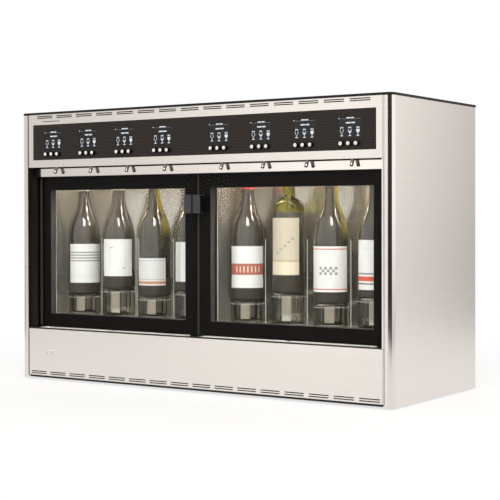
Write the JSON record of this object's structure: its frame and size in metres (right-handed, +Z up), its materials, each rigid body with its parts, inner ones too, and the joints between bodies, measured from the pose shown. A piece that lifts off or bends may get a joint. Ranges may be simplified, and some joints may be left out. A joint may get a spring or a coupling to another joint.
{
  "type": "wine preservation dispenser",
  "caption": "Countertop wine dispenser with glazed doors, bottles on lifts, spouts under a fascia with displays and pour buttons.",
  "frame": {"origin": "on the table plane, at the middle of the body's width and depth, under the middle foot", "axes": "+X to the right of someone facing the front, +Y to the back, +Z up; the front faces -Y"},
  "size_m": [1.042, 0.4402, 0.66],
  "materials": {
    "black_frame": "black powder coat",
    "foot_rubber": "moulded rubber",
    "brushed_steel": "fine brushed stainless steel",
    "polished_steel": "polished stainless steel",
    "rear_sheet": "plain steel sheet",
    "foam_liner": "polished steel skins over insulating foam",
    "clear_acrylic": "clear acrylic",
    "light_diffuser": "opal diffuser",
    "bottle_glass": "dark green glass, filled",
    "bare_aluminium": "machined",
    "panel_black": "black panel with fine horizontal lines",
    "screen": "display modules on a circuit board",
    "door_glass": "clear float glass",
    "black_aluminium": "black anodised",
    "latch_grey": "dark grey satin plastic"
  },
  "bodies": {
    "cabinet": {"main_frame": "black_frame", "feet": "foot_rubber", "door_hinge_pins": "brushed_steel", "left_side_panel": "brushed_steel", "right_side_panel": "brushed_steel", "top_cover": "black_frame", "front_fascia": "brushed_steel", "spout_rail": "polished_steel", "lower_front_panel": "brushed_steel", "rear_cover": "rear_sheet", "compartment_liner": "foam_liner", "bay_dividers": "clear_acrylic", "light_bars": "light_diffuser", "lift_actuators": "bare_aluminium", "dispensing_heads": "bare_aluminium", "spouts": "polished_steel", "control_panel": "panel_black", "display_board": "screen", "power_supply": "bare_aluminium", "cooling_unit": "black_aluminium"},
    "left_door": {"left_door_frame": "black_aluminium", "left_door_glass": "door_glass", "left_door_latch": "latch_grey"},
    "right_door": {"right_door_frame": "black_aluminium", "right_door_glass": "door_glass", "right_door_latch": "latch_grey"},
    "drip_trays": {"drip_trays": "brushed_steel"},
    "power_button": {"power_button": "polished_steel"},
    "bottle_lift_1": {"bottle_lift_1": "bottle_glass"},
    "bottle_lift_2": {"bottle_lift_2": "bottle_glass"},
    "bottle_lift_3": {"bottle_lift_3": "bottle_glass"},
    "bottle_lift_4": {"bottle_lift_4": "bottle_glass"},
    "bottle_lift_5": {"bottle_lift_5": "bottle_glass"},
    "bottle_lift_6": {"bottle_lift_6": "bottle_glass"},
    "bottle_lift_7": {"bottle_lift_7": "bottle_glass"},
    "bottle_lift_8": {"bottle_lift_8": "bottle_glass"},
    "pour_button_1_small": {"pour_button_1_small": "polished_steel"},
    "pour_button_1_medium": {"pour_button_1_medium": "polished_steel"},
    "pour_button_1_large": {"pour_button_1_large": "polished_steel"},
    "pour_button_2_small": {"pour_button_2_small": "polished_steel"},
    "pour_button_2_medium": {"pour_button_2_medium": "polished_steel"},
    "pour_button_2_large": {"pour_button_2_large": "polished_steel"},
    "pour_button_3_small": {"pour_button_3_small": "polished_steel"},
    "pour_button_3_medium": {"pour_button_3_medium": "polished_steel"},
    "pour_button_3_large": {"pour_button_3_large": "polished_steel"},
    "pour_button_4_small": {"pour_button_4_small": "polished_steel"},
    "pour_button_4_medium": {"pour_button_4_medium": "polished_steel"},
    "pour_button_4_large": {"pour_button_4_large": "polished_steel"},
    "pour_button_5_small": {"pour_button_5_small": "polished_steel"},
    "pour_button_5_medium": {"pour_button_5_medium": "polished_steel"},
    "pour_button_5_large": {"pour_button_5_large": "polished_steel"},
    "pour_button_6_small": {"pour_button_6_small": "polished_steel"},
    "pour_button_6_medium": {"pour_button_6_medium": "polished_steel"},
    "pour_button_6_large": {"pour_button_6_large": "polished_steel"},
    "pour_button_7_small": {"pour_button_7_small": "polished_steel"},
    "pour_button_7_medium": {"pour_button_7_medium": "polished_steel"},
    "pour_button_7_large": {"pour_button_7_large": "polished_steel"},
    "pour_button_8_small": {"pour_button_8_small": "polished_steel"},
    "pour_button_8_medium": {"pour_button_8_medium": "polished_steel"},
    "pour_button_8_large": {"pour_button_8_large": "polished_steel"}
  },
  "joints": [
    {"name": "left_door_swing", "type": "hinge", "parent": "cabinet", "child": "left_door", "pos_m": [-0.48, -0.164, 0.315], "axis": [0, 0, -1], "range_deg": [0, 95]},
    {"name": "right_door_swing", "type": "hinge", "parent": "cabinet", "child": "right_door", "pos_m": [0.48, -0.164, 0.315], "axis": [0, 0, 1], "range_deg": [0, 95]},
    {"name": "drip_trays_lift_out", "type": "slide", "parent": "cabinet", "child": "drip_trays", "axis": [0, 0, 1], "range_m": [0, 0.02]},
    {"name": "power_button_press", "type": "slide", "parent": "cabinet", "child": "power_button", "axis": [0, 1, 0], "range_m": [0, 0.0015], "stiffness_N_per_m": 400, "springref_m": -0.001},
    {"name": "bottle_lift_1_travel", "type": "slide", "parent": "cabinet", "child": "bottle_lift_1", "axis": [0, 0, 1], "range_m": [-0.035, 0]},
    {"name": "bottle_lift_2_travel", "type": "slide", "parent": "cabinet", "child": "bottle_lift_2", "axis": [0, 0, 1], "range_m": [-0.035, 0]},
    {"name": "bottle_lift_3_travel", "type": "slide", "parent": "cabinet", "child": "bottle_lift_3", "axis": [0, 0, 1], "range_m": [-0.035, 0]},
    {"name": "bottle_lift_4_travel", "type": "slide", "parent": "cabinet", "child": "bottle_lift_4", "axis": [0, 0, 1], "range_m": [-0.035, 0]},
    {"name": "bottle_lift_5_travel", "type": "slide", "parent": "cabinet", "child": "bottle_lift_5", "axis": [0, 0, 1], "range_m": [-0.035, 0]},
    {"name": "bottle_lift_6_travel", "type": "slide", "parent": "cabinet", "child": "bottle_lift_6", "axis": [0, 0, 1], "range_m": [-0.035, 0]},
    {"name": "bottle_lift_7_travel", "type": "slide", "parent": "cabinet", "child": "bottle_lift_7", "axis": [0, 0, 1], "range_m": [-0.035, 0]},
    {"name": "bottle_lift_8_travel", "type": "slide", "parent": "cabinet", "child": "bottle_lift_8", "axis": [0, 0, 1], "range_m": [-0.035, 0]},
    {"name": "pour_button_1_small_press", "type": "slide", "parent": "cabinet", "child": "pour_button_1_small", "axis": [0, 1, 0], "range_m": [0, 0.0015], "stiffness_N_per_m": 400, "springref_m": -0.001},
    {"name": "pour_button_1_medium_press", "type": "slide", "parent": "cabinet", "child": "pour_button_1_medium", "axis": [0, 1, 0], "range_m": [0, 0.0015], "stiffness_N_per_m": 400, "springref_m": -0.001},
    {"name": "pour_button_1_large_press", "type": "slide", "parent": "cabinet", "child": "pour_button_1_large", "axis": [0, 1, 0], "range_m": [0, 0.0015], "stiffness_N_per_m": 400, "springref_m": -0.001},
    {"name": "pour_button_2_small_press", "type": "slide", "parent": "cabinet", "child": "pour_button_2_small", "axis": [0, 1, 0], "range_m": [0, 0.0015], "stiffness_N_per_m": 400, "springref_m": -0.001},
    {"name": "pour_button_2_medium_press", "type": "slide", "parent": "cabinet", "child": "pour_button_2_medium", "axis": [0, 1, 0], "range_m": [0, 0.0015], "stiffness_N_per_m": 400, "springref_m": -0.001},
    {"name": "pour_button_2_large_press", "type": "slide", "parent": "cabinet", "child": "pour_button_2_large", "axis": [0, 1, 0], "range_m": [0, 0.0015], "stiffness_N_per_m": 400, "springref_m": -0.001},
    {"name": "pour_button_3_small_press", "type": "slide", "parent": "cabinet", "child": "pour_button_3_small", "axis": [0, 1, 0], "range_m": [0, 0.0015], "stiffness_N_per_m": 400, "springref_m": -0.001},
    {"name": "pour_button_3_medium_press", "type": "slide", "parent": "cabinet", "child": "pour_button_3_medium", "axis": [0, 1, 0], "range_m": [0, 0.0015], "stiffness_N_per_m": 400, "springref_m": -0.001},
    {"name": "pour_button_3_large_press", "type": "slide", "parent": "cabinet", "child": "pour_button_3_large", "axis": [0, 1, 0], "range_m": [0, 0.0015], "stiffness_N_per_m": 400, "springref_m": -0.001},
    {"name": "pour_button_4_small_press", "type": "slide", "parent": "cabinet", "child": "pour_button_4_small", "axis": [0, 1, 0], "range_m": [0, 0.0015], "stiffness_N_per_m": 400, "springref_m": -0.001},
    {"name": "pour_button_4_medium_press", "type": "slide", "parent": "cabinet", "child": "pour_button_4_medium", "axis": [0, 1, 0], "range_m": [0, 0.0015], "stiffness_N_per_m": 400, "springref_m": -0.001},
    {"name": "pour_button_4_large_press", "type": "slide", "parent": "cabinet", "child": "pour_button_4_large", "axis": [0, 1, 0], "range_m": [0, 0.0015], "stiffness_N_per_m": 400, "springref_m": -0.001},
    {"name": "pour_button_5_small_press", "type": "slide", "parent": "cabinet", "child": "pour_button_5_small", "axis": [0, 1, 0], "range_m": [0, 0.0015], "stiffness_N_per_m": 400, "springref_m": -0.001},
    {"name": "pour_button_5_medium_press", "type": "slide", "parent": "cabinet", "child": "pour_button_5_medium", "axis": [0, 1, 0], "range_m": [0, 0.0015], "stiffness_N_per_m": 400, "springref_m": -0.001},
    {"name": "pour_button_5_large_press", "type": "slide", "parent": "cabinet", "child": "pour_button_5_large", "axis": [0, 1, 0], "range_m": [0, 0.0015], "stiffness_N_per_m": 400, "springref_m": -0.001},
    {"name": "pour_button_6_small_press", "type": "slide", "parent": "cabinet", "child": "pour_button_6_small", "axis": [0, 1, 0], "range_m": [0, 0.0015], "stiffness_N_per_m": 400, "springref_m": -0.001},
    {"name": "pour_button_6_medium_press", "type": "slide", "parent": "cabinet", "child": "pour_button_6_medium", "axis": [0, 1, 0], "range_m": [0, 0.0015], "stiffness_N_per_m": 400, "springref_m": -0.001},
    {"name": "pour_button_6_large_press", "type": "slide", "parent": "cabinet", "child": "pour_button_6_large", "axis": [0, 1, 0], "range_m": [0, 0.0015], "stiffness_N_per_m": 400, "springref_m": -0.001},
    {"name": "pour_button_7_small_press", "type": "slide", "parent": "cabinet", "child": "pour_button_7_small", "axis": [0, 1, 0], "range_m": [0, 0.0015], "stiffness_N_per_m": 400, "springref_m": -0.001},
    {"name": "pour_button_7_medium_press", "type": "slide", "parent": "cabinet", "child": "pour_button_7_medium", "axis": [0, 1, 0], "range_m": [0, 0.0015], "stiffness_N_per_m": 400, "springref_m": -0.001},
    {"name": "pour_button_7_large_press", "type": "slide", "parent": "cabinet", "child": "pour_button_7_large", "axis": [0, 1, 0], "range_m": [0, 0.0015], "stiffness_N_per_m": 400, "springref_m": -0.001},
    {"name": "pour_button_8_small_press", "type": "slide", "parent": "cabinet", "child": "pour_button_8_small", "axis": [0, 1, 0], "range_m": [0, 0.0015], "stiffness_N_per_m": 400, "springref_m": -0.001},
    {"name": "pour_button_8_medium_press", "type": "slide", "parent": "cabinet", "child": "pour_button_8_medium", "axis": [0, 1, 0], "range_m": [0, 0.0015], "stiffness_N_per_m": 400, "springref_m": -0.001},
    {"name": "pour_button_8_large_press", "type": "slide", "parent": "cabinet", "child": "pour_button_8_large", "axis": [0, 1, 0], "range_m": [0, 0.0015], "stiffness_N_per_m": 400, "springref_m": -0.001}
  ]
}
